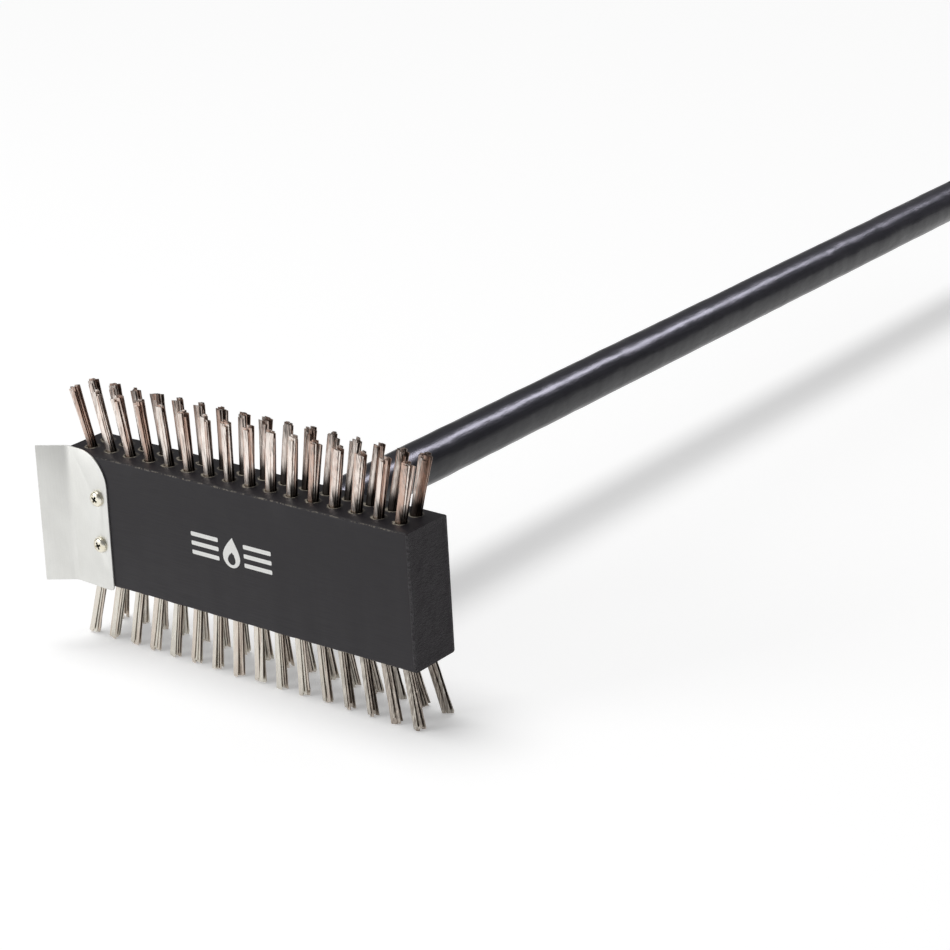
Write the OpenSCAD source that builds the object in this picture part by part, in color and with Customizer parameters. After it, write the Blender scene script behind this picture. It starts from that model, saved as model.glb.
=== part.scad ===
// Long-handled grill cleaning brush: a drilled wooden block with rows of steel wire tufts on
// its two narrow long faces, a bent scraper blade screwed to one end, and a round wooden
// handle standing square out of the block's back face.
// Frame: +Y runs along the handle away from the block, +X along the block towards its plain
// end, +Z up. The origin is on the handle's axis, where the handle leaves the back face.

/* [Block] */
// Length of the block, along X
block_l = 230; // [200:1:250]
// Depth of the block between its front and back faces
block_t = 30; // [28:0.5:36]
// Height of the block between its two tufted faces
block_h = 72; // [66:1:90]
// Radius planed on the block's four long edges
edge_r = 1.2; // [0.5:0.1:2]

/* [Tufts] */
// Tufts along each row
columns = 16; // [10:1:16]
// From the scraper end of the block to the first tuft
first_margin = 10.7; // [9:0.1:12]
// From the last tuft to the block's plain end
last_margin = 12.3; // [9:0.1:14]
// From the front face to the front row of tufts
front_margin = 10.9; // [10:0.1:12]
// Between the front row and the back row
row_gap = 11.2; // [9:0.1:12]
// Diameter of a tuft hole
hole_d = 5.4; // [5:0.1:6]
// Depth of a tuft hole along its own axis
hole_depth = 15; // [12:0.5:18]
// Diameter of a bundle of wires
tuft_d = 5; // [4:0.1:5]
// How far the top tufts stand above the block
top_out = 32; // [20:0.5:40]
// How far the bottom tufts stand below the block
bottom_out = 33.5; // [20:0.5:40]
// Lean of the end tufts along the block, in degrees
fan = 13.9; // [0:0.1:16]
// How much further the middle top tufts lean towards the plain end, in degrees
top_set = 4.8; // [0:0.1:8]
// Lean of the top rows away from each other, in degrees
top_splay = 1.7; // [0:0.1:10]
// Lean of the bottom rows away from each other, in degrees
bottom_splay = 4.8; // [0:0.1:10]
// How much further from the middle the bottom rows stand than the top ones
bottom_row_shift = 2.4; // [0:0.1:3]

/* [Scraper] */
// Height of the blade
blade_h = 76.2; // [70:0.1:80]
// Thickness of the blade's sheet
blade_t = 0.9; // [0.7:0.1:1.5]
// From the block's scraper end to the blade's inner edge
blade_cover = 29; // [26:0.5:36]
// Length of the lip past its bend
lip_l = 14.3; // [10:0.1:25]
// Angle that the lip is bent forward
lip_angle = 37; // [20:1:50]
// Inside radius of the bend
bend_r = 7; // [1:0.5:8]
// Radius of the blade's top inner corner
corner_r = 18; // [5:0.5:20]
// Radius of the blade's bottom inner corner
small_corner_r = 2.5; // [1:0.5:5]
// Lean of the blade on the block, as it was screwed on, in degrees
blade_tilt = 2.3; // [0:0.1:3]

/* [Screws] */
// Distance between the two screws
screw_gap = 26; // [20:0.5:30]
// From the blade's inner edge to the screws
screw_inset = 7; // [6:0.5:9]
// Diameter of a screw's pan head
head_d = 8.4; // [7:0.1:9]
// Height of a screw's head
head_h = 2.5; // [2:0.1:3]
// Diameter of a screw's shank
shank_d = 4; // [3.5:0.1:4.5]
// Length of a screw under its head
screw_l = 19; // [14:0.5:22]

/* [Handle] */
// Diameter of the handle
handle_d = 25.4; // [22:0.1:30]
// Length of the handle behind the block
handle_l = 745; // [400:5:1190]
// Radius on the handle's free end
handle_end_r = 7; // [2:0.5:10]
// Diameter of the tenon in the block
tenon_d = 20; // [16:0.5:21]
// Length of the tenon
tenon_l = 22; // [15:0.5:22]
// Diameter of the hole that the brush hangs by
hang_hole_d = 8; // [6:0.5:10]
// From the handle's free end to the hanging hole
hang_hole_inset = 25; // [20:1:40]

/* [Hidden] */
$fn = 48;
sliver = 0.01;          // overlap that fuses two solids, or cuts past a face
tenon_play = 0.1;       // glue gap round the tenon
nail_d = 2.8;
nail_l = 40;
nail_head_d = 5;
nail_head_h = 1.5;
bend_steps = 8;         // flats that the blade's bend is made of
anchor_l = 7.6;         // staple across the foot of a tuft hole
anchor_t = 0.8;
anchor_h = 2.4;
anchor_lift = 2.2;      // from the foot of the hole to the staple: room for the wires to fold
recess_w = 1.3;         // cross recess in a screw's head
recess_l = 4.6;
recess_depth = 1.5;
screw_tip_l = 5;
screw_hole_d = shank_d + 0.5;

wood_black = [0.13, 0.12, 0.14];
handle_black = [0.09, 0.1, 0.13];
wire_steel = [0.66, 0.62, 0.58];
sheet_steel = [0.83, 0.83, 0.81];
zinc = [0.78, 0.72, 0.55];
plain_steel = [0.5, 0.5, 0.52];

first_x = first_margin - block_l / 2;
last_x = block_l / 2 - last_margin;
pitch = (last_x - first_x) / (columns - 1);
front_row_y = front_margin - block_t;
rows = [0, 1];
blade_y = -block_t;                               // the blade lies on the front face
blade_inner_x = blade_cover - block_l / 2;
screw_x = blade_inner_x - screw_inset;
bend_x = 4.7 - block_l / 2;                       // the bend starts just inside the end
nail_x = first_x + (columns / 2 - 0.5) * pitch;   // between the two middle tufts
nail_y = -tenon_l / 2;

function column_x(column) = first_x + (column - 1) * pitch;
function row_y(side, row) =
    front_row_y + row * row_gap + (side == "bottom" ? (2 * row - 1) * bottom_row_shift : 0);
function two_digits(n) = n < 10 ? str("0", n) : str(n);
function tuft_name(side, column) = str("tufts_", side, "_", two_digits(column));

// ---- Places ----

// Mirrors what belongs to the bottom face, which is drawn as if it were on the top one
module on_side(side) {
    mirror([0, 0, side == "bottom" ? 1 : 0]) children();
}

// Stands the children's +Z along a tuft's axis, from the centre of its hole's mouth
module along_tuft(side, column, row) {
    splay = side == "top" ? top_splay : bottom_splay;
    along = column_x(column) / last_x;
    lean = fan * along + (side == "top" ? top_set * (1 - along * along) : 0);
    translate([column_x(column), row_y(side, row), block_h / 2])
        rotate([row == 0 ? splay : -splay, lean, 0])
            children();
}

// Turns the children about the middle of the two screws, with the blade's lean
module with_blade_tilt() {
    translate([screw_x, 0, 0])
        rotate([0, blade_tilt, 0])
            translate([-screw_x, 0, 0])
                children();
}

// Puts the children at both screws, with +Z pointing out of the blade's face
module at_screws() {
    with_blade_tilt()
        for (end = [-1, 1])
            translate([screw_x, blade_y - blade_t, end * screw_gap / 2])
                rotate([90, 0, 0])
                    children();
}

// ---- Shapes ----

// A rectangle with four round corners, centred
module rounded_rect(width, height, radius) {
    square([width - 2 * radius, height], center = true);
    square([width, height - 2 * radius], center = true);
    for (x = [-1, 1], y = [-1, 1])
        translate([x * (width / 2 - radius), y * (height / 2 - radius)])
            circle(radius);
}

module tuft_hole() {
    translate([0, 0, -hole_depth])
        cylinder(d = hole_d, h = hole_depth + hole_d);
}

// The staple that a bundle of wires is folded round
module anchor() {
    translate([0, 0, -hole_depth + anchor_lift + anchor_h / 2])
        cube([anchor_l, anchor_t, anchor_h], center = true);
}

// One bundle of wires, trimmed level with the rest of its row
module tuft(side, column, row) {
    out = side == "top" ? top_out : bottom_out;
    intersection() {
        along_tuft(side, column, row)
            difference() {
                translate([0, 0, -hole_depth])
                    cylinder(d = tuft_d, h = hole_depth + 1.2 * out);
                anchor();
            }
        translate([-block_l, -2 * block_t, 0])
            cube([2 * block_l, 3 * block_t, block_h / 2 + out]);
    }
}

// What is cut away to round a corner that lies at the origin
module corner_waste(radius, towards_x, towards_y) {
    difference() {
        square(2 * radius, center = true);
        translate([towards_x * radius, towards_y * radius])
            circle(radius);
        translate([towards_x * 2 * radius, 0])
            square([2 * radius, 4 * radius], center = true);
        translate([0, towards_y * 2 * radius])
            square([4 * radius, 2 * radius], center = true);
    }
}

// Points of an arc about the origin, from one angle to the other
function arc(radius, from, to) =
    [for (step = [0 : bend_steps])
        let (turn = from + (to - from) * step / bend_steps)
            radius * [cos(turn), sin(turn)]];

// The folded sheet's section, seen from above, about the centre of its bend
module blade_section() {
    outer_r = bend_r + blade_t;
    flat_l = blade_inner_x - bend_x;
    turn = 90 + lip_angle;
    along_lip = lip_l * [-sin(turn), cos(turn)];
    translate([bend_x, blade_y - outer_r])
        polygon(concat(
            [[flat_l, bend_r], [flat_l, outer_r]],
            arc(outer_r, 90, turn),
            [for (radius = [outer_r, bend_r]) radius * [cos(turn), sin(turn)] + along_lip],
            arc(bend_r, turn, 90)
        ));
}

// Half of the handle's section, with the axis on the section's Y
module handle_section() {
    difference() {
        union() {
            translate([0, -tenon_l])
                square([tenon_d / 2, tenon_l + sliver]);
            square([handle_d / 2, handle_l]);
        }
        translate([handle_d / 2, handle_l])
            corner_waste(handle_end_r, -1, -1);
    }
}

// ---- Nodes ----

module brush_block() {
    color(wood_black)
        difference() {
            translate([-block_l / 2, -block_t / 2, 0])
                rotate([90, 0, 90])
                    linear_extrude(block_l)
                        rounded_rect(block_t, block_h, edge_r);
            for (side = ["top", "bottom"], column = [1 : columns], row = rows)
                on_side(side)
                    along_tuft(side, column, row) {
                        tuft_hole();
                        anchor();
                    }
            rotate([90, 0, 0])
                translate([0, 0, -sliver])
                    cylinder(d = tenon_d + 2 * tenon_play, h = tenon_l + tenon_play + sliver);
            at_screws()
                screw_shank();
            nail();
        }
}

module handle() {
    color(handle_black)
        difference() {
            rotate([-90, 0, 0])
                rotate_extrude()
                    handle_section();
            translate([0, handle_l - hang_hole_inset, -handle_d])
                cylinder(d = hang_hole_d, h = 2 * handle_d);
            nail();
        }
}

// Driven up through the block's underside into the tenon
module nail() {
    translate([nail_x, nail_y, -block_h / 2]) {
        translate([0, 0, -sliver])
            cylinder(d = nail_d, h = nail_l);
        translate([0, 0, -sliver])
            cylinder(d1 = nail_head_d, d2 = nail_d, h = nail_head_h);
    }
}

module handle_nail() {
    color(plain_steel)
        nail();
}

// Cuts one inner corner of the blade round, through its thickness
module blade_corner_cut(radius, side) {
    translate([blade_inner_x, blade_y + blade_t, side * blade_h / 2])
        rotate([90, 0, 0])
            linear_extrude(3 * blade_t)
                corner_waste(radius, -1, -side);
}

module scraper_blade() {
    color(sheet_steel)
        difference() {
            with_blade_tilt()
                difference() {
                    translate([0, 0, -blade_h / 2])
                        linear_extrude(blade_h)
                            blade_section();
                    blade_corner_cut(corner_r, 1);
                    blade_corner_cut(small_corner_r, -1);
                }
            at_screws()
                translate([0, 0, -2 * blade_t])
                    cylinder(d = screw_hole_d, h = 4 * blade_t);
        }
}

module screw_shank() {
    straight_l = screw_l - screw_tip_l;
    translate([0, 0, -straight_l])
        cylinder(d = shank_d, h = straight_l + sliver);
    translate([0, 0, -screw_l])
        cylinder(d1 = 0.6, d2 = shank_d, h = screw_tip_l);
}

module screw() {
    dome_r = (head_d * head_d / 4 + head_h * head_h) / (2 * head_h) * 1.15;
    screw_shank();
    difference() {
        intersection() {
            cylinder(d = head_d, h = head_h);
            translate([0, 0, head_h - dome_r])
                sphere(dome_r);
        }
        for (turn = [0, 90])
            rotate([0, 0, turn])
                translate([0, 0, head_h])
                    cube([recess_l, recess_w, 2 * recess_depth], center = true);
    }
}

module scraper_screws() {
    color(zinc)
        at_screws()
            screw();
}

module tuft_anchors(side) {
    color(plain_steel)
        on_side(side)
            for (column = [1 : columns], row = rows)
                along_tuft(side, column, row)
                    anchor();
}

module tufts(side, column) {
    color(wire_steel)
        on_side(side)
            for (row = rows)
                tuft(side, column, row);
}

brush_block();
handle();
handle_nail();
scraper_blade();
scraper_screws();
tuft_anchors("top");  // tuft_anchors_top
tuft_anchors("bottom");  // tuft_anchors_bottom
for (column = [1 : columns])
    tufts("top", column);
for (column = [1 : columns])
    tufts("bottom", column);
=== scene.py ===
import math
import random

import bmesh
import bpy
from mathutils import Matrix, Quaternion, Vector


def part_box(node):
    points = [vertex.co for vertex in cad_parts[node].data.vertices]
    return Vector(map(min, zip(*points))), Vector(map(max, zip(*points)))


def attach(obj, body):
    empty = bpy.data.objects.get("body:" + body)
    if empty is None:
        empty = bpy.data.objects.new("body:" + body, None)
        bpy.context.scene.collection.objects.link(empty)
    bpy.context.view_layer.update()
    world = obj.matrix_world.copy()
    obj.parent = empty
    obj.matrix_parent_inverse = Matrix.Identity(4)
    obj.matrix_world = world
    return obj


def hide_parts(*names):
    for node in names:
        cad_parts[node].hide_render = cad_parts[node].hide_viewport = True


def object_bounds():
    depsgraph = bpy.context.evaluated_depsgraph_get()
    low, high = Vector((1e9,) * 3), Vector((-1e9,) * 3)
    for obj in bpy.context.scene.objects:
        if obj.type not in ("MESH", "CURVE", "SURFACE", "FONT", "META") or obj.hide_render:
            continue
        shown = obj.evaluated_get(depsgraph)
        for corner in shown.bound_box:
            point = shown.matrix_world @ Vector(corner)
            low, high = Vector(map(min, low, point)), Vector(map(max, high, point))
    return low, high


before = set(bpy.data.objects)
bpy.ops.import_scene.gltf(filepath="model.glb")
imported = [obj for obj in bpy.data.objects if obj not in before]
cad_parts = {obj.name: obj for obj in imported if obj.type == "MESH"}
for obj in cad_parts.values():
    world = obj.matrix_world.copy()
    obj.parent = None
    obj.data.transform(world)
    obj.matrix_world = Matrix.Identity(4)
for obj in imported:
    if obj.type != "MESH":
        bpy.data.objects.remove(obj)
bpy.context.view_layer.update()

mm = 0.001
deg = math.pi / 180


# workshop helpers

def clearSelection():
    if bpy.context.mode != "OBJECT":
        bpy.ops.object.mode_set(mode="OBJECT")
    bpy.ops.object.select_all(action="DESELECT")


def takeInHand(piece):  # this piece alone is selected and active
    clearSelection()
    piece.select_set(True)
    bpy.context.view_layer.objects.active = piece
    return piece


def newPiece(name):  # names the primitive just added and puts its place into its mesh
    piece = bpy.context.object
    piece.name = piece.data.name = name
    bpy.ops.object.transform_apply(location=True, rotation=True, scale=True)
    return piece


def startEditing(piece):
    takeInHand(piece)
    bpy.ops.object.mode_set(mode="EDIT")


def stopEditing():
    bpy.ops.object.mode_set(mode="OBJECT")


def pick(kind, test):  # selects the corners, edges or faces that pass the test
    bpy.context.tool_settings.mesh_select_mode = [kind == k for k in ("VERT", "EDGE", "FACE")]
    bpy.ops.mesh.select_all(action="DESELECT")
    net = bmesh.from_edit_mesh(bpy.context.object.data)
    parts = {"VERT": net.verts, "EDGE": net.edges, "FACE": net.faces}[kind]
    for part in parts:
        if test(part):
            part.select_set(True)
    net.select_flush_mode()
    bmesh.update_edit_mesh(bpy.context.object.data)


def middle(edge):
    return (edge.verts[0].co + edge.verts[1].co) / 2


def pushOut(way):
    bpy.ops.mesh.extrude_region_move(TRANSFORM_OT_translate={"value": way})


def faceOutwards():
    bpy.ops.mesh.select_all(action="SELECT")
    bpy.ops.mesh.normals_make_consistent(inside=False)


def copyOf(pattern, name):  # each copy has a mesh of its own
    piece = pattern.copy()
    piece.data = pattern.data.copy()
    piece.name = piece.data.name = name
    bpy.context.scene.collection.objects.link(piece)
    return piece


def joinUp(pieces, name):
    takeInHand(pieces[0])
    for piece in pieces[1:]:
        piece.select_set(True)
    if len(pieces) > 1:
        bpy.ops.object.join()
    pieces[0].name = pieces[0].data.name = name
    return pieces[0]


def throwAway(*pieces):
    for piece in pieces:
        bpy.data.objects.remove(piece)


def applyModifier(piece, kind, **settings):
    takeInHand(piece)
    modifier = piece.modifiers.new(kind.lower(), kind)
    for setting, value in settings.items():
        setattr(modifier, setting, value)
    bpy.ops.object.modifier_apply(modifier=modifier.name)


def cutWith(piece, cutter):
    applyModifier(piece, "BOOLEAN", operation="DIFFERENCE", solver="EXACT", object=cutter)
    throwAway(cutter)


def smoothBelow(piece, angle):
    takeInHand(piece)
    bpy.ops.object.shade_smooth_by_angle(angle=angle)


def lathe(name, profile, sides, wobble=0, seed=0):
    # stands on +Z: profile is a list of (height, radius), and wobble moves the rings a little
    shaky = random.Random(seed)
    clearSelection()
    height, radius = profile[0]
    bpy.ops.mesh.primitive_circle_add(
        vertices=sides, radius=radius, fill_type="NGON", location=(0, 0, height))
    piece = newPiece(name)
    startEditing(piece)
    bpy.ops.mesh.select_all(action="SELECT")
    centre = Vector((0, 0, height))
    for nextHeight, nextRadius in profile[1:]:
        aside, across = shaky.uniform(-wobble, wobble), shaky.uniform(-wobble, wobble)
        wanted = Vector((aside, across, nextHeight))
        truth = nextRadius + shaky.uniform(-wobble, wobble) * 0.5
        pushOut(wanted - centre)
        grow = truth / radius
        bpy.ops.transform.resize(value=(grow, grow, 1), center_override=wanted)
        centre, radius = wanted, truth
    faceOutwards()
    stopEditing()
    return piece


def addBox(name, low, high):
    clearSelection()
    low, high = Vector(low), Vector(high)
    bpy.ops.mesh.primitive_cube_add(size=1, location=(low + high) / 2, scale=high - low)
    return newPiece(name)


def finishPiece(piece, material, slot, *nodes):
    piece.data.materials.clear()
    piece.data.materials.append(material)
    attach(piece, "root")
    if nodes:
        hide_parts(*nodes)


# material helpers

class Finish:  # a material with its nodes at hand
    def __init__(self, name):
        self.material = bpy.data.materials.new(name)
        self.material.use_nodes = True
        self.tree = self.material.node_tree
        self.surface = self.tree.nodes["Principled BSDF"]
        coordinates = self.tree.nodes.new("ShaderNodeTexCoord")
        self.place = coordinates.outputs["Object"]

    def feed(self, socket, value):
        if isinstance(value, bpy.types.NodeSocket):
            self.tree.links.new(value, socket)
        else:
            socket.default_value = value

    def add(self, kind, settings=None, **inputs):
        node = self.tree.nodes.new("ShaderNode" + kind)
        for name, value in (settings or {}).items():
            setattr(node, name, value)
        for name, value in inputs.items():
            self.feed(node.inputs[name.replace("_", " ")], value)
        return node

    def math(self, operation, first, second=0.0, third=0.0):
        node = self.add("Math", {"operation": operation})
        for socket, value in zip(node.inputs, (first, second, third)):
            self.feed(socket, value)
        return node.outputs[0]

    def pattern(self, recipe):
        stretch, detail, roughness, distortion = (*recipe, 0.0)[:4]
        where = self.add("Mapping", Vector=self.place, Scale=stretch).outputs[0]
        return self.add("TexNoise", Vector=where, Scale=1.0, Detail=detail,
                        Roughness=roughness, Distortion=distortion).outputs["Fac"]

    def ramp(self, value, low, high, fromValue=0.0, toValue=1.0):  # eases from low to high
        node = self.add("MapRange", {"interpolation_type": "SMOOTHSTEP"}, Value=value)
        for name, number in (("From Min", low), ("From Max", high),
                             ("To Min", fromValue), ("To Max", toValue)):
            node.inputs[name].default_value = number
        return node.outputs["Result"]

    def blendColour(self, share, first, second):
        node = self.add("Mix", {"data_type": "RGBA"})
        self.feed(node.inputs["Factor"], share)
        for index, value in ((6, first), (7, second)):
            if isinstance(value, tuple):
                value = (*value, 1)
            self.feed(node.inputs[index], value)
        return node.outputs[2]

    def bump(self, height, depth, strength=1.0, under=None):
        node = self.add("Bump", Height=height, Distance=depth, Strength=strength)
        if under:
            self.feed(node.inputs["Normal"], under)
        return node.outputs["Normal"]

    def setSurface(self, **inputs):
        for name, value in inputs.items():
            if isinstance(value, tuple):
                value = (*value, 1)
            self.feed(self.surface.inputs[name.replace("_", " ")], value)
        return self.material


# where the tufts stand, the same for the holes and the wires

tuftPlan = {
    "columns": 16,
    "firstColumn": -104.3 * mm,
    "columnGap": 13.8 * mm,
    "rows": {"top": (-19.1 * mm, -7.9 * mm), "bottom": (-21.5 * mm, -5.5 * mm)},  # front, back
    "lean": 13.9 * deg,                           # of the last column; the others lean in step
    "middleSet": 4.8 * deg,                       # further lean of the middle top tufts
    "splay": {"top": 1.7 * deg, "bottom": 4.8 * deg},
    "standing": {"top": 32 * mm, "bottom": 33.5 * mm},
    "holeRadius": 2.7 * mm,
    "holeDepth": 15 * mm,
    "stapleFoot": -12.8 * mm,                     # the wires fold below this height
}

blockLow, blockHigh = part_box("brush_block")
sides = ("top", "bottom")
columns = range(1, tuftPlan["columns"] + 1)
lastColumn = tuftPlan["firstColumn"] + tuftPlan["columnGap"] * (tuftPlan["columns"] - 1)


def tuftAngles(side, column, row):
    x = tuftPlan["firstColumn"] + tuftPlan["columnGap"] * (column - 1)
    splay = tuftPlan["splay"][side] * (1 if row == 0 else -1)
    along = x / lastColumn
    lean = tuftPlan["lean"] * along
    if side == "top":
        lean += tuftPlan["middleSet"] * (1 - along * along)
    return x, lean, splay


def tuftPlace(side, column, row):  # from a tuft's own frame, with +Z out of its hole, to its place
    x, lean, splay = tuftAngles(side, column, row)
    way = 1 if side == "top" else -1
    turn = Matrix.Rotation(way * lean, 4, "Y") @ Matrix.Rotation(way * splay, 4, "X")
    if side == "bottom":
        turn = turn @ Matrix.Rotation(math.pi, 4, "X")
    return Matrix.Translation((x, tuftPlan["rows"][side][row], way * blockHigh.z)) @ turn


# the painted block

block = {
    "edgeRound": 1.2 * mm,
    "edgeCuts": 57,                # slices along the block, so that its edges can be worn
    "edgeWear": 0.22 * mm,
    "endInset": 1.3 * mm,
    "endCuts": (28, 12),           # across the end grain: along Z, along Y
    "tornGrain": 0.55 * mm,        # depth of the torn end grain
    "mouthRadius": 3.25 * mm,      # chipped mouths of the tuft holes
    "mouthDepth": 0.8 * mm,
    "socketRadius": 10.1 * mm,
    "socketDepth": 22.1 * mm,
    "nailRadius": 1.4 * mm,
    "nailHeadRadius": 2.55 * mm,
    "nailHeadTaper": 1.5 * mm,
    "pilotRadius": 1.9 * mm,
    "pilotDepth": 14 * mm,
    "pilotTip": 0.4 * mm,
    "mouthJitter": 0.3 * mm,
    "flakeSize": 3.2 * mm,
    # where the wear fades out and in, as depths below the faces or distances from a hole's axis
    "endFade": (1.2 * mm, 0.6 * mm),
    "topFade": (1.0 * mm, 0.4 * mm),
    "edgeFade": (0.75 * mm, 0.25 * mm),
    "cornerFade": (1.3 * mm, 0.8 * mm),
    "mouthFade": (4.5 * mm, 3.6 * mm),
    "nearSide": (0.5 * mm, -2 * mm),
    "paint": (0.0115, 0.0095, 0.0125),
    "paintThin": (0.030, 0.027, 0.029),
    "bareWood": (0.40, 0.36, 0.29),
    "rubbedPaint": (0.30, 0.30, 0.31),
    "endPaint": (0.0085, 0.0048, 0.0085),
    # patterns: stretch along X, Y and Z, detail, roughness, distortion
    "grain": ((45, 1500, 1500), 4, 0.6),
    "pores": ((160, 3800, 3800), 2, 0.5),
    "blotches": ((120, 260, 260), 4, 0.65),
    "flakes": ((500, 420, 900), 5, 0.7, 0.6),
    "speck": ((700, 700, 700), 3, 0.6),
}

screwPlan = {
    "x": -93 * mm,
    "gap": 26 * mm,
    "tilt": 2.3 * deg,             # the blade was screwed on a little askew
    "faceY": -30.9 * mm,
    "headRadius": 4.2 * mm,
    "headHeight": 2.5 * mm,
    "shankRadius": 2 * mm,
    "length": 19 * mm,
}
askew = (Matrix.Translation((screwPlan["x"], 0, 0)) @ Matrix.Rotation(screwPlan["tilt"], 4, "Y")
         @ Matrix.Translation((-screwPlan["x"], 0, 0)))


def screwPlace(end):  # +Z points out of the blade's face
    place = Matrix.Translation((screwPlan["x"], screwPlan["faceY"], end * screwPlan["gap"] / 2))
    return askew @ place @ Matrix.Rotation(90 * deg, 4, "X")


def makeBlock():
    piece = addBox("paintedBlock", blockLow, blockHigh)
    startEditing(piece)
    pick("EDGE", lambda e: abs(e.verts[0].co.x - e.verts[1].co.x) > 0.1)
    bpy.ops.mesh.bevel(offset=block["edgeRound"], segments=3, profile=0.5, affect="EDGES")
    # torn end grain: each end is inset, cut into small faces and pushed in unevenly
    for end in (blockLow.x, blockHigh.x):
        onEnd = lambda f: abs(f.calc_center_median().x - end) < 0.01 * mm
        pick("FACE", onEnd)
        bpy.ops.mesh.inset(thickness=block["endInset"], depth=0)
        inner = lambda f: onEnd(f) and inside(f, end)
        for axis, cuts in ((2, block["endCuts"][0]), (1, block["endCuts"][1])):
            low, high = blockLow[axis] + block["endInset"], blockHigh[axis] - block["endInset"]
            for step in range(1, cuts):
                pick("FACE", inner)
                at = [end, 0, 0]
                at[axis] = low + (high - low) * step / cuts
                facing = [0, 0, 0]
                facing[axis] = 1
                bpy.ops.mesh.bisect(plane_co=at, plane_no=facing)
    for step in range(1, block["edgeCuts"]):
        x = blockLow.x + (blockHigh.x - blockLow.x) * step / block["edgeCuts"]
        pick("FACE", lambda f: abs(f.normal.x) < 0.5)
        bpy.ops.mesh.bisect(plane_co=(x, 0, 0), plane_no=(1, 0, 0))
    # knocks along the four long edges, on the corners between their bevel's faces
    middleY = (blockLow.y + blockHigh.y) / 2
    reachY, reachZ = (blockHigh.y - blockLow.y) / 2, blockHigh.z
    rounding = block["edgeRound"] * 0.55

    def onRounding(v):
        return (abs(v.co.y - middleY) > reachY - rounding and abs(v.co.z) > reachZ - rounding
                and abs(v.co.x) < blockHigh.x - 1 * mm)

    pick("VERT", onRounding)
    bpy.ops.transform.vertex_random(offset=block["edgeWear"], seed=4)
    stopEditing()
    torn = piece.vertex_groups.new(name="tornGrain")
    deep = [v.index for v in piece.data.vertices
            if abs(abs(v.co.x) - blockHigh.x) < 0.05 * mm
            and abs(v.co.y - middleY) < reachY - 1.05 * block["endInset"]
            and abs(v.co.z) < reachZ - 1.05 * block["endInset"]]
    torn.add(deep, 1, "REPLACE")
    flakes = bpy.data.textures.new("endFlakes", "CLOUDS")
    flakes.noise_scale = block["flakeSize"]
    flakes.noise_depth = 2
    applyModifier(piece, "DISPLACE", texture=flakes, texture_coords="LOCAL", direction="NORMAL",
                  vertex_group="tornGrain", mid_level=1, strength=block["tornGrain"])
    piece.vertex_groups.clear()
    return piece


def inside(face, end):
    lowY, highY = blockLow.y + block["endInset"] * 0.9, blockHigh.y - block["endInset"] * 0.9
    highZ = blockHigh.z - block["endInset"] * 0.9
    return all(lowY < v.co.y < highY and abs(v.co.z) < highZ for v in face.verts)


def drillBlock(piece):
    depth, mouth = tuftPlan["holeDepth"], block["mouthDepth"]
    drill = lathe("drill", [(-depth, tuftPlan["holeRadius"]), (-mouth, tuftPlan["holeRadius"]),
                            (0, block["mouthRadius"]), (3 * mm, block["mouthRadius"] * 1.2)], 20)
    startEditing(drill)
    pick("VERT", lambda v: v.co.z > -0.1 * mm)
    bpy.ops.transform.vertex_random(offset=block["mouthJitter"], seed=2)
    stopEditing()
    turning = random.Random(12)
    drills = []
    for side in sides:
        for column in columns:
            for row in (0, 1):
                one = copyOf(drill, "drill")
                spin = Matrix.Rotation(turning.uniform(0, 6.28), 4, "Z")
                one.data.transform(tuftPlace(side, column, row) @ spin)
                drills.append(one)
    for end in (-1, 1):
        radius = block["pilotRadius"]
        pilot = lathe("pilot", [(-screwPlan["length"], block["pilotTip"]),
                                (-block["pilotDepth"], radius), (0, radius), (2 * mm, radius)], 20)
        pilot.data.transform(screwPlace(end))
        drills.append(pilot)
    throwAway(drill)
    cutWith(piece, joinUp(drills, "drills"))
    socket = lathe("socket", [(-1 * mm, block["socketRadius"]),
                              (block["socketDepth"], block["socketRadius"])], 48)
    socket.data.transform(Matrix.Rotation(90 * deg, 4, "X"))
    cutWith(piece, socket)
    cutWith(piece, nailHole())


def nailHole():
    low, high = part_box("handle_nail")
    middleX, middleY = (low.x + high.x) / 2, (low.y + high.y) / 2
    headRadius = block["nailHeadRadius"]
    hole = lathe("nailHole", [(low.z - 1 * mm, headRadius), (low.z, headRadius),
                              (low.z + block["nailHeadTaper"], block["nailRadius"]),
                              (high.z + 0.2 * mm, block["nailRadius"])], 24)
    hole.data.transform(Matrix.Translation((middleX, middleY, 0)))
    return hole


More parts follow.
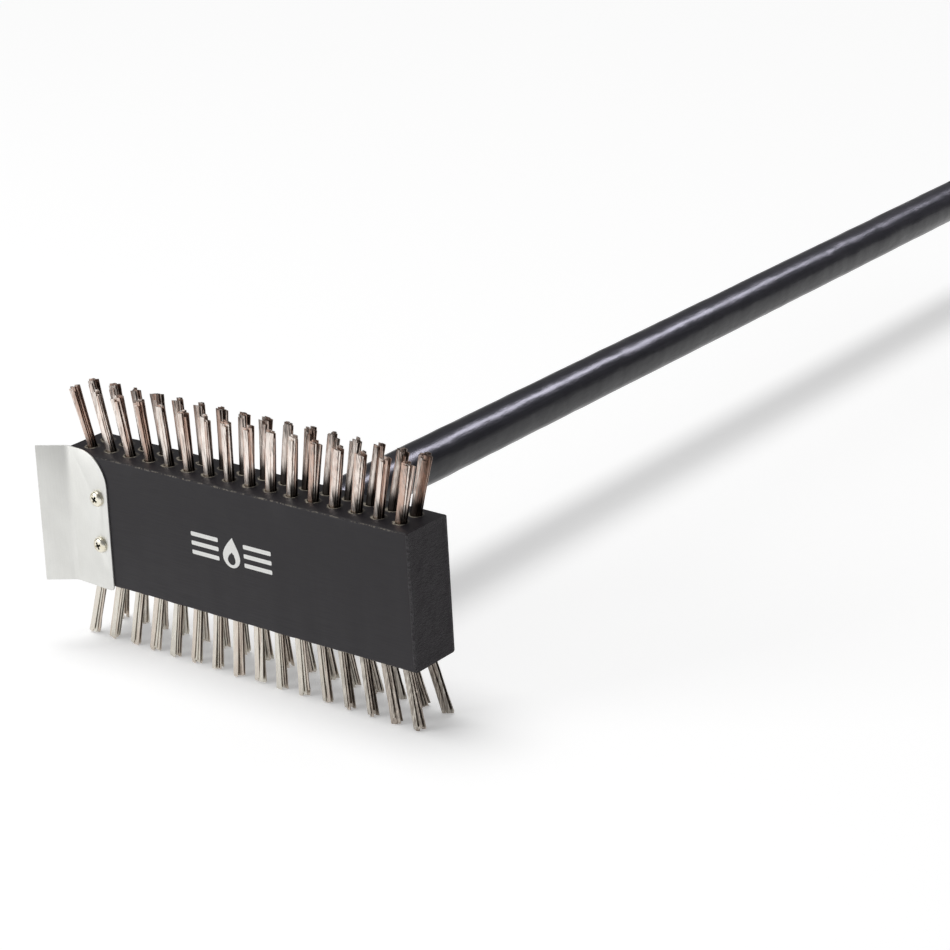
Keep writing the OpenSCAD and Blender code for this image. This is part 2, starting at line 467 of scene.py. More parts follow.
def blockFinish():
    finish = Finish("blackBlockPaint")
    axis = finish.add("SeparateXYZ", Vector=finish.place)
    x, y, z = axis.outputs[0], axis.outputs[1], axis.outputs[2]
    middleY = (blockLow.y + blockHigh.y) / 2
    # depth below each pair of faces
    inX = finish.math("SUBTRACT", blockHigh.x, finish.math("ABSOLUTE", x))
    offY = finish.math("ABSOLUTE", finish.math("SUBTRACT", y, middleY))
    inY = finish.math("SUBTRACT", (blockHigh.y - blockLow.y) / 2, offY)
    inZ = finish.math("SUBTRACT", blockHigh.z, finish.math("ABSOLUTE", z))
    grain = finish.pattern(block["grain"])
    pores = finish.pattern(block["pores"])
    blotches = finish.pattern(block["blotches"])
    flakes = finish.pattern(block["flakes"])
    speck = finish.pattern(block["speck"])
    # masks: the two ends, the faces that the tufts stand in, the long edges, the chipped mouths
    endMask = finish.ramp(inX, *block["endFade"])
    topMask = finish.ramp(inZ, *block["topFade"])
    edgeDepth = finish.math("MAXIMUM", inY, inZ)
    rough = finish.math("MULTIPLY_ADD", blotches, 2.2 * mm, -1.1 * mm)
    wornEdge = finish.ramp(finish.math("ADD", edgeDepth, rough), *block["edgeFade"])
    brokenUp = finish.ramp(speck, 0.42, 0.62)
    wornEdge = finish.math("MULTIPLY", wornEdge, finish.math(
        "MULTIPLY", brokenUp, finish.ramp(inX, 3 * mm, 6 * mm)))
    fromFirst = finish.math("SUBTRACT", x, tuftPlan["firstColumn"] - tuftPlan["columnGap"] / 2)
    wrapped = finish.math("WRAP", fromFirst, tuftPlan["columnGap"], 0.0)
    holeX = finish.math("SUBTRACT", wrapped, tuftPlan["columnGap"] / 2)
    rowMiddle = sum(tuftPlan["rows"]["top"]) / 2
    topHalf, bottomHalf = ((back - front) / 2 for front, back in tuftPlan["rows"].values())
    rowHalf = finish.ramp(finish.math("GREATER_THAN", z, 0.0), 0, 1, bottomHalf, topHalf)
    holeY = finish.math("SUBTRACT", finish.math(
        "ABSOLUTE", finish.math("SUBTRACT", y, rowMiddle)), rowHalf)
    squares = finish.math("ADD", finish.math("MULTIPLY", holeX, holeX),
                          finish.math("MULTIPLY", holeY, holeY))
    fromHole = finish.math("SQRT", squares)
    ragged = finish.math("MULTIPLY_ADD", blotches, 3.4 * mm, -1.7 * mm)
    chipped = finish.ramp(finish.math("ADD", fromHole, ragged), *block["mouthFade"])
    chipped = finish.math("MULTIPLY", finish.math("MULTIPLY", chipped, topMask),
                          finish.ramp(speck, 0.3, 0.55))
    chipped = finish.math("MULTIPLY", chipped, finish.ramp(inX, 5 * mm, 8 * mm))
    fromRow = finish.math("SUBTRACT", finish.math(
        "WRAP", finish.math("SUBTRACT", y, rowMiddle), 2 * topHalf, 0.0), topHalf)
    chipped = finish.math("MULTIPLY", chipped, finish.ramp(
        fromRow, *block["nearSide"], 0.25, 1.0))
    # colour
    mottle = finish.ramp(finish.math("ADD", finish.math("MULTIPLY", grain, 0.6),
                                     finish.math("MULTIPLY", blotches, 0.4)), 0.42, 0.66)
    mottled = finish.math("MULTIPLY", mottle, finish.ramp(topMask, 0, 1, 0.12, 0.4))
    colour = finish.blendColour(mottled, block["paint"], block["paintThin"])
    colour = finish.blendColour(endMask, colour, finish.blendColour(
        finish.ramp(flakes, 0.45, 0.8), block["endPaint"], block["paint"]))
    corner = finish.math("ADD", finish.math("MAXIMUM", inX, inY), rough)
    wornCorner = finish.math("MULTIPLY", finish.ramp(corner, *block["cornerFade"]), brokenUp)
    wornEdge = finish.math("MAXIMUM", wornEdge, finish.math("MULTIPLY", wornCorner, 0.35))
    worn = finish.math("MAXIMUM", finish.math("MULTIPLY", wornEdge, 0.42),
                       finish.math("MULTIPLY", chipped, 0.9))
    bare = finish.blendColour(topMask, block["rubbedPaint"], block["bareWood"])
    colour = finish.blendColour(worn, colour, bare)
    # relief
    grainBump = finish.bump(finish.math("ADD", grain, finish.math("MULTIPLY", pores, 0.4)),
                            0.05 * mm, 0.8)
    endBump = finish.bump(finish.math("MULTIPLY", flakes, endMask), 1.2 * mm, 1.0, grainBump)
    shine = finish.math("ADD", finish.ramp(grain, 0.3, 0.7, 0.42, 0.55),
                        finish.math("MULTIPLY", worn, 0.3))
    return finish.setSurface(Base_Color=colour, Roughness=shine, Normal=endBump,
                             Specular_IOR_Level=0.33)


print("block: shaping and drilling")
paintedBlock = makeBlock()
drillBlock(paintedBlock)
smoothBelow(paintedBlock, 32 * deg)
finishPiece(paintedBlock, blockFinish(), "block_paint", "brush_block")


# the painted handle

handle = {
    "radius": 12.7 * mm,
    "tenonRadius": 10 * mm,
    "tenonLength": 22 * mm,
    "tenonChamfer": 0.6 * mm,
    "endRadius": 7 * mm,
    "ringGap": 9 * mm,
    "wobble": 0.09 * mm,           # the turned wood is never quite straight
    "hangHoleRadius": 4 * mm,
    "hangHoleInset": 25 * mm,
    "lacquer": (0.0042, 0.0042, 0.0065),
    "lacquerThin": (0.010, 0.009, 0.012),
    # patterns: stretch along X, Y and Z, detail, roughness, distortion
    "waves": ((55, 42, 55), 2, 0.45),
    "ripple": ((260, 75, 260), 3, 0.55),
    "grain": ((1500, 34, 1500), 4, 0.6),
    "speck": ((2600, 2600, 2600), 2, 0.5),
}


def makeHandle():
    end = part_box("handle")[1].y
    tenon, tenonRadius = handle["tenonLength"], handle["tenonRadius"]
    chamfer = handle["tenonChamfer"]
    profile = [(-tenon, tenonRadius - chamfer), (-tenon + chamfer, tenonRadius), (0, tenonRadius),
               (0.01 * mm, handle["radius"])]
    straight = end - handle["endRadius"]
    rings = round(straight / handle["ringGap"])
    profile += [(straight * ring / rings, handle["radius"]) for ring in range(1, rings + 1)]
    for step in range(1, 7):
        turn = 90 * deg * step / 6
        profile.append((straight + handle["endRadius"] * math.sin(turn),
                        handle["radius"] - handle["endRadius"] * (1 - math.cos(turn))))
    piece = lathe("paintedHandle", profile, 56, handle["wobble"], 31)
    piece.data.transform(Matrix.Rotation(-90 * deg, 4, "X"))
    hole = lathe("hangHole", [(-20 * mm, handle["hangHoleRadius"]),
                              (20 * mm, handle["hangHoleRadius"])], 32)
    hole.data.transform(Matrix.Translation((0, end - handle["hangHoleInset"], 0)))
    cutWith(piece, hole)
    cutWith(piece, nailHole())
    smoothBelow(piece, 40 * deg)
    return piece


def handleFinish():
    finish = Finish("blackHandleLacquer")
    waves = finish.pattern(handle["waves"])
    ripple = finish.pattern(handle["ripple"])
    grain = finish.pattern(handle["grain"])
    speck = finish.pattern(handle["speck"])
    colour = finish.blendColour(finish.ramp(grain, 0.45, 0.75), handle["lacquer"],
                                handle["lacquerThin"])
    relief = finish.bump(waves, 1.8 * mm, 0.6)
    relief = finish.bump(ripple, 0.3 * mm, 0.7, relief)
    relief = finish.bump(finish.math("ADD", grain, finish.math("MULTIPLY", speck, 0.5)),
                         0.035 * mm, 0.8, relief)
    shine = finish.ramp(finish.math("ADD", finish.math("MULTIPLY", grain, 0.5),
                                    finish.math("MULTIPLY", speck, 0.5)), 0.3, 0.7, 0.27, 0.38)
    return finish.setSurface(Base_Color=colour, Roughness=shine, Normal=relief,
                             Specular_IOR_Level=0.4, Coat_Weight=0.1, Coat_Roughness=0.18)


print("handle: turning")
paintedHandle = makeHandle()
finishPiece(paintedHandle, handleFinish(), "handle_paint", "handle")


# the scraper blade

blade = {
    "flatFrom": -110.3 * mm,       # the bend starts here
    "flatTo": -86 * mm,
    "height": 76.2 * mm,
    "thickness": 0.9 * mm,
    "bendRadius": 7 * mm,
    "lip": 14.3 * mm,
    "lipAngle": 37 * deg,
    "topCorner": 18 * mm,
    "bottomCorner": 2.5 * mm,
    "burr": 0.14 * mm,
    "holeRadius": 2.25 * mm,
    "steel": (0.775, 0.775, 0.748),
    "dull": (0.73, 0.73, 0.705),
    # patterns: stretch along X, Y and Z, detail, roughness, distortion
    "rolled": ((2200, 2200, 40), 3, 0.55),
    "clouds": ((60, 60, 45), 3, 0.5),
    "speck": ((1500, 1500, 1500), 2, 0.5),
}


def makeBlade():
    faceY = blockLow.y
    midY = faceY - blade["thickness"] / 2
    half = blade["height"] / 2
    clearSelection()
    width = blade["flatTo"] - blade["flatFrom"]
    middleOfFlat = ((blade["flatFrom"] + blade["flatTo"]) / 2, midY, 0)
    bpy.ops.mesh.primitive_plane_add(size=1, rotation=(90 * deg, 0, 0), location=middleOfFlat)
    piece = newPiece("scraperBlade")
    startEditing(piece)
    bpy.ops.mesh.select_all(action="SELECT")
    bpy.ops.transform.resize(value=(width, 1, blade["height"]), center_override=middleOfFlat)
    pick("EDGE", lambda e: middle(e).x < blade["flatFrom"] + 0.1 * mm)
    outer = blade["bendRadius"] + blade["thickness"]
    bpy.ops.mesh.spin(steps=10, angle=-blade["lipAngle"], axis=(0, 0, 1),
                      center=(blade["flatFrom"], faceY - outer, 0))
    along = Vector((-math.cos(blade["lipAngle"]), -math.sin(blade["lipAngle"]), 0))
    pushOut(along * blade["lip"])
    pick("VERT", lambda v: v.co.x > blade["flatTo"] - 0.1 * mm and v.co.z > half - 0.1 * mm)
    bpy.ops.mesh.bevel(offset=blade["topCorner"], segments=14, affect="VERTICES")
    pick("VERT", lambda v: v.co.x > blade["flatTo"] - 0.1 * mm and v.co.z < -half + 0.1 * mm)
    bpy.ops.mesh.bevel(offset=blade["bottomCorner"], segments=6, affect="VERTICES")
    bpy.ops.mesh.select_all(action="SELECT")
    bpy.ops.mesh.remove_doubles(threshold=0.001 * mm)
    faceOutwards()
    stopEditing()
    applyModifier(piece, "SOLIDIFY", thickness=blade["thickness"], offset=0)
    for end in (-1, 1):
        hole = lathe("bladeHole", [(-4 * mm, blade["holeRadius"]),
                                   (4 * mm, blade["holeRadius"])], 24)
        hole.data.transform(askew.inverted() @ screwPlace(end))
        cutWith(piece, hole)
    applyModifier(piece, "BEVEL", width=blade["burr"], segments=2, limit_method="ANGLE",
                  angle_limit=50 * deg)
    piece.data.transform(askew)
    smoothBelow(piece, 30 * deg)
    return piece


def bladeFinish():
    finish = Finish("rolledBladeSteel")
    rolled = finish.pattern(blade["rolled"])
    clouds = finish.pattern(blade["clouds"])
    speck = finish.pattern(blade["speck"])
    colour = finish.blendColour(finish.ramp(finish.math(
        "ADD", finish.math("MULTIPLY", rolled, 0.4), finish.math("MULTIPLY", clouds, 0.6)),
        0.35, 0.7), blade["steel"], blade["dull"])
    relief = finish.bump(rolled, 0.012 * mm, 0.5)
    relief = finish.bump(clouds, 0.35 * mm, 0.25, relief)
    shine = finish.ramp(finish.math("ADD", finish.math("MULTIPLY", speck, 0.5),
                                    finish.math("MULTIPLY", clouds, 0.5)), 0.3, 0.7, 0.42, 0.56)
    return finish.setSurface(Base_Color=colour, Metallic=1.0, Roughness=shine, Normal=relief)


print("blade: folding")
scraperBlade = makeBlade()
finishPiece(scraperBlade, bladeFinish(), "blade_steel", "scraper_blade")


# the two scraper screws

screw = {
    "recessWidth": 1.3 * mm,
    "recessLength": 4.8 * mm,
    "recessDepth": 1.9 * mm,
    "recessReach": 2.6 * mm,       # the recess lies this close to the screw's axis
    "plating": (0.78, 0.72, 0.57),
    "platingPale": (0.86, 0.83, 0.73),
    # painted shade for the floor of the recess
    "paintedRecessShade": (0.02, 0.017, 0.014),
    # patterns: stretch along X, Y and Z, detail, roughness, distortion
    "tarnish": ((420, 420, 420), 3, 0.55),
    "speck": ((3500, 3500, 3500), 2, 0.5),
}


def makeScrew():
    radius, height = screwPlan["headRadius"], screwPlan["headHeight"]
    shank, length = screwPlan["shankRadius"], screwPlan["length"]
    profile = [(-length, 0.3 * mm), (-length + 5 * mm, shank * 0.8)]
    turns = 9
    for turn in range(turns):                     # ridges of the thread
        low = -length + 5 * mm + (length - 6 * mm) * turn / turns
        profile += [(low + 0.5 * mm, shank), (low + 1.2 * mm, shank * 0.8)]
    profile += [(0, shank), (0.001 * mm, radius - 0.25 * mm), (0.25 * mm, radius),
                (0.8 * mm, radius)]
    for step in range(1, 8):                      # the pan's dome
        turn = 90 * deg * step / 8
        profile.append((0.8 * mm + (height - 0.8 * mm) * math.sin(turn),
                        radius * (0.25 + 0.75 * math.cos(turn))))
    profile.append((height, radius * 0.22))
    piece = lathe("scraperScrew", profile, 36)
    for turn in (0, 90 * deg):
        bar = addBox("recess", (-screw["recessLength"] / 2, -screw["recessWidth"] / 2,
                                height - screw["recessDepth"]),
                     (screw["recessLength"] / 2, screw["recessWidth"] / 2, height + 1 * mm))
        startEditing(bar)
        pick("FACE", lambda f: f.normal.z < -0.5)
        bpy.ops.transform.resize(value=(0.55, 0.7, 1),
                                 center_override=(0, 0, height - screw["recessDepth"]))
        stopEditing()
        bar.data.transform(Matrix.Rotation(turn + 24 * deg, 4, "Z"))
        cutWith(piece, bar)
    # marks the floor of the recess near the axis, where painted shade goes
    floorZ = height - screw["recessDepth"]
    reach = screw["recessReach"]
    depth = [1.0 if abs(v.co.z - floorZ) < 0.1 * mm and v.co.xy.length < reach else 0.0
             for v in piece.data.vertices]
    piece.data.attributes.new("recess", "FLOAT", "POINT").data.foreach_set("value", depth)
    smoothBelow(piece, 35 * deg)
    return piece


def screwFinish():
    finish = Finish("yellowZinc")
    tarnish = finish.pattern(screw["tarnish"])
    speck = finish.pattern(screw["speck"])
    colour = finish.blendColour(finish.ramp(tarnish, 0.35, 0.65), screw["plating"],
                                screw["platingPale"])
    recess = finish.add("Attribute", {"attribute_name": "recess"}).outputs["Fac"]
    # painted shade: the floor of the recess is painted nearly black
    colour = finish.blendColour(finish.ramp(recess, 0.1, 0.6), colour, screw["paintedRecessShade"])
    relief = finish.bump(speck, 0.03 * mm, 0.5)
    return finish.setSurface(Base_Color=colour, Metallic=1.0, Normal=relief,
                             Roughness=finish.ramp(tarnish, 0.3, 0.7, 0.2, 0.34))


print("screws: turning and slotting")
screwPattern = makeScrew()
zinc = screwFinish()
pair = []
for end, turn in ((-1, 0), (1, 37 * deg)):
    one = copyOf(screwPattern, "scraperScrew")
    one.data.transform(screwPlace(end) @ Matrix.Rotation(turn, 4, "Z"))
    pair.append(one)
throwAway(screwPattern)
scraperScrews = joinUp(pair, "scraperScrews")
finishPiece(scraperScrews, zinc, "screw_plating", "scraper_screws")


# the wire tufts

wires = {
    "width": 1.6 * mm,
    "thickness": 0.54 * mm,
    "flatShare": 0.86,             # of the width that is flat; the rest is the rolled edge
    # each folded wire: how far its two legs stand from the staple, and how far it is set sideways
    "layers": ((0.73, -1.63), (0.73, 0.0), (0.73, 1.63), (1.33, -0.83), (1.33, 0.83),
               (1.93, 0.0)),
    "standing": 32 * mm,
    "bundles": 8,                  # patterns that the tufts are copied from
    "spread": 1.1,                 # of the tips, against the mouth of the hole
    "waver": 0.38 * mm,            # how far a tip strays
    "ragged": 3.2 * mm,            # how much shorter the shortest wire is
    "twist": 7 * deg,
    "bow": 0.16 * mm,
    # the same wire, painted lit on the top tufts and shaded on the bottom tufts
    "topLitBright": (0.94, 0.86, 0.80),
    "bottomShadedBeige": (0.74, 0.71, 0.64),
    "warm": (0.52, 0.33, 0.25),
    "dark": (0.15, 0.12, 0.10),
    # darker tips, and painted shade at the tufts' feet
    "darkTipsAndFootShade": (0.045, 0.038, 0.034),
    # patterns: stretch along X, Y and Z, detail, roughness, distortion
    "drawn": ((1900, 1900, 45), 3, 0.6),
    "patches": ((420, 420, 130), 3, 0.6),
}


def foldWire(legGap):  # one flat wire, folded round the staple, with both legs straight
    fold = tuftPlan["stapleFoot"]
    clearSelection()
    bpy.ops.mesh.primitive_circle_add(
        vertices=6, radius=wires["width"] / 2, fill_type="NGON", location=(0, -legGap, fold),
        rotation=(0, 0, 30 * deg))
    piece = newPiece("flatWire")
    startEditing(piece)
    at = (0, -legGap, fold)
    # the corners at the two ends of the section stay, and the other four make its flats
    bpy.ops.mesh.select_all(action="SELECT")
    bpy.ops.transform.rotate(value=30 * deg, orient_axis="Z", center_override=at)
    pick("VERT", lambda v: abs(v.co.y + legGap) > 0.3 * wires["width"] / 2)
    flat = 0.5 * wires["width"] / 2
    bpy.ops.transform.resize(
        value=(wires["flatShare"] * wires["width"] / 2 / flat,
               wires["thickness"] / (wires["width"] * math.cos(30 * deg)), 1), center_override=at)
    bpy.ops.mesh.select_all(action="SELECT")
    bpy.ops.mesh.spin(steps=3, angle=math.pi, axis=(1, 0, 0), center=(0, 0, fold))
    heights = [0, 0.36, 0.7, 1]
    for leg in (1, -1):
        pick("FACE", lambda f: abs(f.calc_center_median().z - fold) < 0.05 * mm
             and f.calc_center_median().y * leg > 0 and abs(f.normal.z) > 0.9)
        last = fold
        for share in heights:
            pushOut((0, 0, wires["standing"] * share - last))
            last = wires["standing"] * share
    bpy.ops.mesh.select_all(action="SELECT")
    bpy.ops.mesh.remove_doubles(threshold=0.01 * mm)
    faceOutwards()
    stopEditing()
    return piece


def makeBundle(number, patterns):  # six folded wires make one tuft
    shaky = random.Random(700 + number)
    standing = wires["standing"]
    strands = []
    for legGap, aside in wires["layers"]:
        strand = copyOf(patterns[legGap], "strand")
        strand.data.transform(Matrix.Translation((aside * mm, 0, 0)))
        startEditing(strand)
        for leg in (1, -1):
            strayX, strayY = (shaky.gauss(0, wires["waver"]) for _ in range(2))
            short = -wires["ragged"] * shaky.random() ** 1.7
            bow = shaky.gauss(0, wires["bow"])
            for share in (1, 0.7, 0.36):
                pick("VERT", lambda v: abs(v.co.z - standing * share) < 1 * mm and v.co.y * leg > 0)
                out = (wires["spread"] - 1) * share
                bpy.ops.transform.translate(value=(
                    aside * mm * out + strayX * share ** 1.5 + bow * (1 - share),
                    leg * legGap * mm * out + strayY * share ** 1.5,
                    short if share == 1 else 0))
        stopEditing()
        tint = strand.data.attributes.new("wireTint", "FLOAT", "POINT")
        tint.data.foreach_set("value", [shaky.random()] * len(strand.data.vertices))
        strands.append(strand)
    return joinUp(strands, "bundle")


def plantTuft(bundle, side, column, row, shaky):
    tuft = copyOf(bundle, "tuft")
    _, lean, splay = tuftAngles(side, column, row)
    longer = tuftPlan["standing"][side] / wires["standing"] / math.cos(lean) / math.cos(splay)
    startEditing(tuft)
    pick("VERT", lambda v: v.co.z > 1 * mm)
    bpy.ops.transform.resize(value=(1, 1, longer), center_override=(0, 0, 0))
    stopEditing()
    turn = shaky.choice((0, math.pi)) + shaky.uniform(-wires["twist"], wires["twist"])
    tuft.data.transform(tuftPlace(side, column, row) @ Matrix.Rotation(turn, 4, "Z"))
    return tuft


def trimLevel(tufts, side):  # the longest wires are cut off level
    level = blockHigh.z + tuftPlan["standing"][side] - 0.01 * mm
    way = 1 if side == "top" else -1
    startEditing(tufts)
    bpy.ops.mesh.select_all(action="SELECT")
    bpy.ops.mesh.bisect(plane_co=(0, 0, way * level), plane_no=(0, 0, way), use_fill=True,
                        clear_outer=True, threshold=0.001 * mm)
    stopEditing()


def wireFinish():
    finish = Finish("flatWireSteel")
    tint = finish.add("Attribute", {"attribute_name": "wireTint"}).outputs["Fac"]
    axis = finish.add("SeparateXYZ", Vector=finish.place)
    height = finish.math("SUBTRACT", finish.math("ABSOLUTE", axis.outputs[2]), blockHigh.z)
    isTop = finish.math("GREATER_THAN", axis.outputs[2], 0.0)
    drawn = finish.pattern(wires["drawn"])
    patches = finish.pattern(wires["patches"])
    warmth = finish.math("ADD", finish.math("MULTIPLY", drawn, 0.75),
                         finish.math("MULTIPLY", tint, 0.35))
    warmth = finish.math("ADD", warmth, finish.math("MULTIPLY", patches, 0.25))
    # painted light and shade: the top tufts get the lit colour and stronger warm and dark lines, the
    # bottom tufts the shaded colour
    warmShare = finish.math("MULTIPLY", finish.ramp(warmth, 0.52, 0.8),
                            finish.ramp(isTop, 0, 1, 0.3, 0.85))
    colour = finish.blendColour(isTop, wires["bottomShadedBeige"], wires["topLitBright"])
    colour = finish.blendColour(warmShare, colour, wires["warm"])
    lines = finish.math("MULTIPLY", finish.ramp(drawn, 0.48, 0.38, 0.0, 0.65),
                        finish.ramp(isTop, 0, 1, 0.3, 1.0))
    colour = finish.blendColour(lines, colour, wires["dark"])
    # darker on the back row's tips, and painted shade and reflection of the black block at the feet
    # of the back row and of each tuft's far side
    backRow = finish.ramp(axis.outputs[1], -15 * mm, -12 * mm)
    fromFirst = finish.math("SUBTRACT", axis.outputs[0],
                            tuftPlan["firstColumn"] - tuftPlan["columnGap"] / 2)
    inColumn = finish.math("SUBTRACT", finish.math("WRAP", fromFirst, tuftPlan["columnGap"], 0.0),
                           tuftPlan["columnGap"] / 2)
    tips = finish.ramp(finish.math("ADD", height, finish.math("MULTIPLY", patches, 14 * mm)),
                       27 * mm, 37 * mm, 0.0, 0.8)
    tips = finish.math("MULTIPLY", tips, finish.ramp(drawn, 0.58, 0.42, 0.25, 1.0))
    tips = finish.math("MULTIPLY", tips, finish.ramp(backRow, 0, 1, 0.35, 1.0))
    # painted shade: the feet darken where the wires reflect the black block
    feet = finish.ramp(finish.math("ADD", height, finish.math("MULTIPLY", patches, 9 * mm)),
                       17 * mm, 9 * mm, 0.0, 0.93)
    feet = finish.math("MULTIPLY", feet, finish.math(
        "MAXIMUM", backRow, finish.ramp(inColumn, 0.5 * mm, 1.6 * mm)))
    darkTipsAndFootShade = finish.math("MULTIPLY", finish.math("MAXIMUM", tips, feet), isTop)
    colour = finish.blendColour(darkTipsAndFootShade, colour, wires["darkTipsAndFootShade"])
    # painted shade: the bottom tufts grow darker towards the plain end
    bottomEndShade = finish.math("MULTIPLY", finish.ramp(axis.outputs[0], 10 * mm, 105 * mm, 0.0, 0.75),
                        finish.ramp(drawn, 0.62, 0.44, 0.25, 1.0))
    bottomEndShade = finish.math("MULTIPLY", bottomEndShade, finish.math("SUBTRACT", 1.0, isTop))
    colour = finish.blendColour(bottomEndShade, colour, wires["dark"])
    relief = finish.bump(drawn, 0.04 * mm, 0.7)
    shine = finish.ramp(patches, 0.3, 0.7, 0.27, 0.42)
    return finish.setSurface(Base_Color=colour, Metallic=1.0, Roughness=shine, Normal=relief)


print("tufts: folding the wires and planting them")
wirePatterns = {gap: foldWire(gap * mm) for gap in sorted({gap for gap, aside in wires["layers"]})}
bundles = [makeBundle(number, wirePatterns) for number in range(wires["bundles"])]
wireSteel = wireFinish()
planting = random.Random(88)
for side in sides:
    for column in columns:
        tufts = [plantTuft(planting.choice(bundles), side, column, row, planting)
                 for row in (0, 1)]
        tuftPair = joinUp(tufts, f"wireTufts{side.capitalize()}{column:02d}")
        trimLevel(tuftPair, side)
        smoothBelow(tuftPair, 25 * deg)
        finishPiece(tuftPair, wireSteel, "wire_steel", f"tufts_{side}_{column:02d}")
throwAway(*bundles, *wirePatterns.values())


# the nail and the staples stay as the CAD has them

plainMetal = {
    "steel": (0.42, 0.42, 0.43),
    "stained": (0.27, 0.24, 0.22),
    # patterns: stretch along X, Y and Z, detail, roughness, distortion
    "spots": ((900, 900, 900), 4, 0.6),
}


def plainSteelFinish():
    finish = Finish("plainSteel")
    spots = finish.pattern(plainMetal["spots"])
    colour = finish.blendColour(finish.ramp(spots, 0.4, 0.7), plainMetal["steel"],
                                plainMetal["stained"])
    return finish.setSurface(Base_Color=colour, Metallic=1.0,
                             Roughness=finish.ramp(spots, 0.3, 0.7, 0.3, 0.5),
                             Normal=finish.bump(spots, 0.05 * mm, 0.6))


plainSteel = plainSteelFinish()
for name in ("handle_nail", "tuft_anchors_top", "tuft_anchors_bottom"):
    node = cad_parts[name]
    node.data.materials.clear()
    node.data.materials.append(plainSteel)


# the printed mark, a plain flame between grill bars

mark = {
    "middle": (-0.6 * mm, 2 * mm),
    "thickness": 0.05 * mm,
    "barLength": 18.5 * mm,
    "barHeight": 2.3 * mm,
    "barGap": 5 * mm,
    "barFrom": 8.5 * mm,
    "flameWidth": 11.5 * mm,
    "flameHeight": 16.5 * mm,
    "ink": (0.80, 0.80, 0.78),
    # patterns: stretch along X, Y and Z, detail, roughness, distortion
    "cover": ((1300, 1300, 1300), 4, 0.65),
}


def makeFlame(width, height, footZ):  # a drop shape with its point at the top
    clearSelection()
    bpy.ops.mesh.primitive_circle_add(
        vertices=32, radius=width / 2, fill_type="NGON", rotation=(90 * deg, 0, 0),
        location=(mark["middle"][0], blockLow.y, footZ + width / 2))
    piece = newPiece("flame")
    startEditing(piece)
    middleZ = footZ + width / 2
    steps = 8
    for step in range(1, steps + 1):              # the upper half is drawn up, a pair at a time
        level = width / 2 * math.sin(90 * deg * step / steps)
        share = step / steps
        lift = (height - width) * share ** 1.6
        pick("VERT", lambda v: abs(v.co.z - middleZ - level) < 0.02 * mm)
        narrow = 1 - 0.45 * share ** 2 if step < steps else 1
        bpy.ops.transform.resize(value=(narrow, 1, 1),
                                 center_override=(mark["middle"][0], blockLow.y, middleZ))
        bpy.ops.transform.translate(value=(0.12 * width * share ** 2, 0, lift))
    stopEditing()
    return piece


def makeMark():
    centreX, centreZ = mark["middle"]
    front = blockLow.y - mark["thickness"]
    parts = []
    for way in (-1, 1):
        for level in (-1, 0, 1):
            near, far = way * mark["barFrom"], way * (mark["barFrom"] + mark["barLength"])
            z = centreZ + level * mark["barGap"]
            low = (centreX + min(near, far), front, z - mark["barHeight"] / 2)
            high = (centreX + max(near, far), blockLow.y, z + mark["barHeight"] / 2)
            bar = addBox("bar", low, high)
            startEditing(bar)
            pick("EDGE", lambda e: abs(e.verts[0].co.y - e.verts[1].co.y) > mark["thickness"] / 2)
            bpy.ops.mesh.bevel(offset=0.6 * mm, segments=4, affect="EDGES")
            stopEditing()
            parts.append(bar)
    foot = centreZ - mark["flameHeight"] / 2
    flame = makeFlame(mark["flameWidth"], mark["flameHeight"], foot)
    heart = makeFlame(mark["flameWidth"] * 0.45, mark["flameHeight"] * 0.42,
                      foot + 1.6 * mm)
    for shape, depth in ((flame, mark["thickness"]), (heart, 1 * mm)):
        startEditing(shape)
        bpy.ops.mesh.select_all(action="SELECT")
        pushOut((0, -depth, 0))
        faceOutwards()
        stopEditing()
    heart.data.transform(Matrix.Translation((0, 0.5 * mm, 0)))
    cutWith(flame, heart)
    parts.append(flame)
    return joinUp(parts, "printedMark")


def markFinish():
    finish = Finish("whitePrint")
    cover = finish.pattern(mark["cover"])
    colour = finish.blendColour(finish.ramp(cover, 0.55, 0.85), mark["ink"], (0.42, 0.41, 0.40))
    return finish.setSurface(Base_Color=colour, Roughness=finish.ramp(cover, 0.3, 0.7, 0.45, 0.6),
                             Normal=finish.bump(cover, 0.03 * mm, 0.5))


print("mark: printing")
printedMark = makeMark()
finishPiece(printedMark, markFinish(), "mark_print")


# floor, light and camera

studio = {
    "floorSize": 14,
    "floorColour": (0.86, 0.86, 0.86),
    "floorGlow": 0.31,             # the floor is a lit table
    "surroundings": 0.2,
    "overhead": {"strength": 1.75, "angle": 36 * deg, "tilt": (14 * deg, 0)},
    "lamps": (                     # place, aim, size, power, casts a shadow
        ("handleStrip", (0.22, 1.4, 1.2), (0, 1.4, 0), (1.6, 0.3), 33, False),
        ("frontPanel", (-1.3, -1.7, 0.7), (0, 0, 0), (1.2, 1.0), 14, True),
    ),
    "stripTint": (0.86, 0.84, 1.0),
    "cameraPlace": (0.85852, -0.89876, 0.50245),
    "cameraAim": (0.13377, 0, 0.0595),
    "cameraRoll": -3.22 * deg,
    "lens": 100,
    # patterns: stretch along X, Y and Z, detail, roughness, distortion
    "fibre": ((300, 300, 300), 3, 0.5),
}


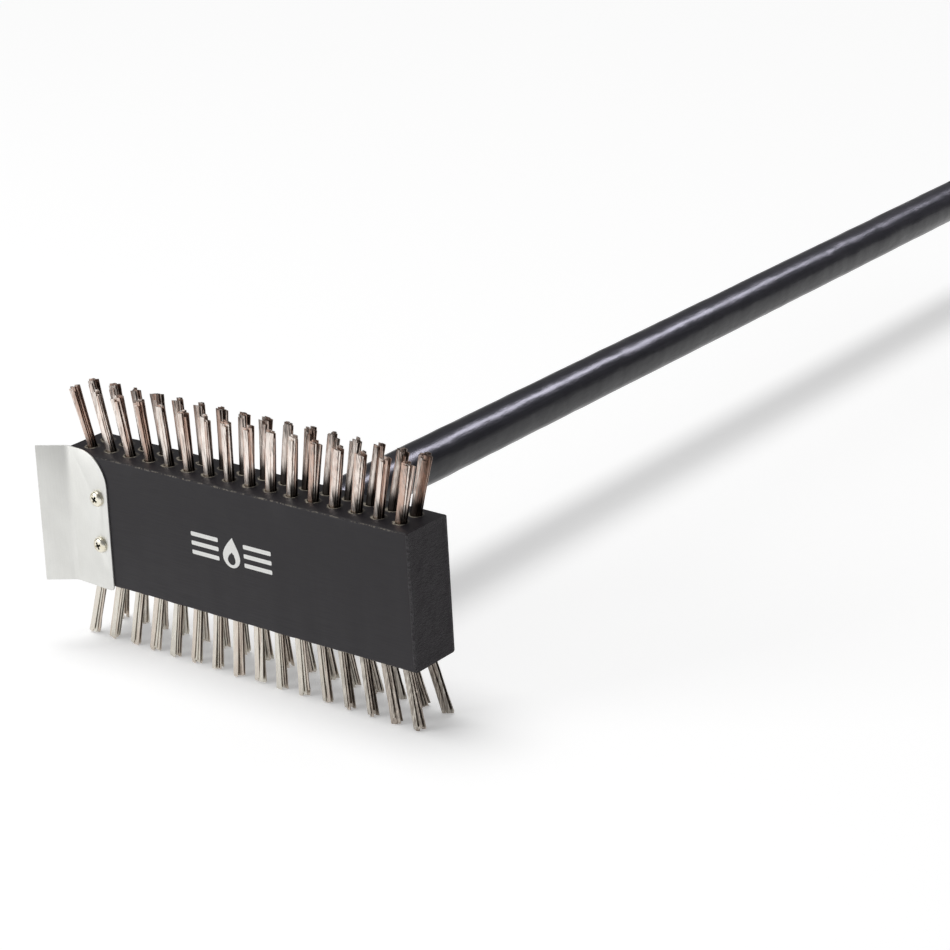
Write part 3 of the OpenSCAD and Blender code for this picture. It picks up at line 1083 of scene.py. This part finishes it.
def layFloor():
    clearSelection()
    bpy.ops.mesh.primitive_plane_add(size=studio["floorSize"], location=(0, 0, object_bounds()[0][2]))
    floor = newPiece("studioFloor")
    finish = Finish("floorPaper")
    fibre = finish.pattern(studio["fibre"])
    floor.data.materials.append(finish.setSurface(
        Base_Color=studio["floorColour"], Roughness=0.85, Specular_IOR_Level=0.1,
        Emission_Color=(1.0, 1.0, 1.0), Emission_Strength=studio["floorGlow"],
        Normal=finish.bump(fibre, 0.05 * mm, 0.2)))


def setLights():
    world = bpy.data.worlds.new("studioSurroundings")
    bpy.context.scene.world = world
    world.use_nodes = True
    backdrop = world.node_tree.nodes["Background"]
    backdrop.inputs["Color"].default_value = (1, 1, 1, 1)
    backdrop.inputs["Strength"].default_value = studio["surroundings"]
    overhead = studio["overhead"]
    clearSelection()
    bpy.ops.object.light_add(type="SUN", rotation=(overhead["tilt"][1], -overhead["tilt"][0], 0))
    lamp = bpy.context.object
    lamp.name = "overheadLight"
    lamp.data.energy = overhead["strength"]
    lamp.data.angle = overhead["angle"]
    for name, place, aim, size, power, castsShadow in studio["lamps"]:
        place, aim = Vector(place), Vector(aim)
        bpy.ops.object.light_add(type="AREA", location=place)
        lamp = bpy.context.object
        lamp.name = name
        lamp.data.shape = "RECTANGLE"
        lamp.data.size, lamp.data.size_y = size
        lamp.data.energy = power
        lamp.data.use_shadow = castsShadow
        lamp.rotation_euler = (aim - place).to_track_quat("-Z", "Y").to_euler()
        if not castsShadow:                       # the strip lights the handle alone
            lamp.data.color = studio["stripTint"]
            lit = bpy.data.collections.new("litByStrip")
            lit.objects.link(paintedHandle)
            lamp.light_linking.receiver_collection = lit


def setCamera():
    place, aim = Vector(studio["cameraPlace"]), Vector(studio["cameraAim"])
    bpy.ops.object.camera_add(location=place)
    camera = bpy.context.object
    camera.name = "camera"
    camera.data.lens = studio["lens"]
    camera.data.sensor_width = 36
    turn = (aim - place).to_track_quat("-Z", "Y") @ Quaternion((0, 0, 1), studio["cameraRoll"])
    camera.rotation_euler = turn.to_euler()
    bpy.context.scene.camera = camera


print("studio: floor, light and camera")
layFloor()
setLights()
setCamera()
bpy.context.scene.view_settings.view_transform = "Standard"
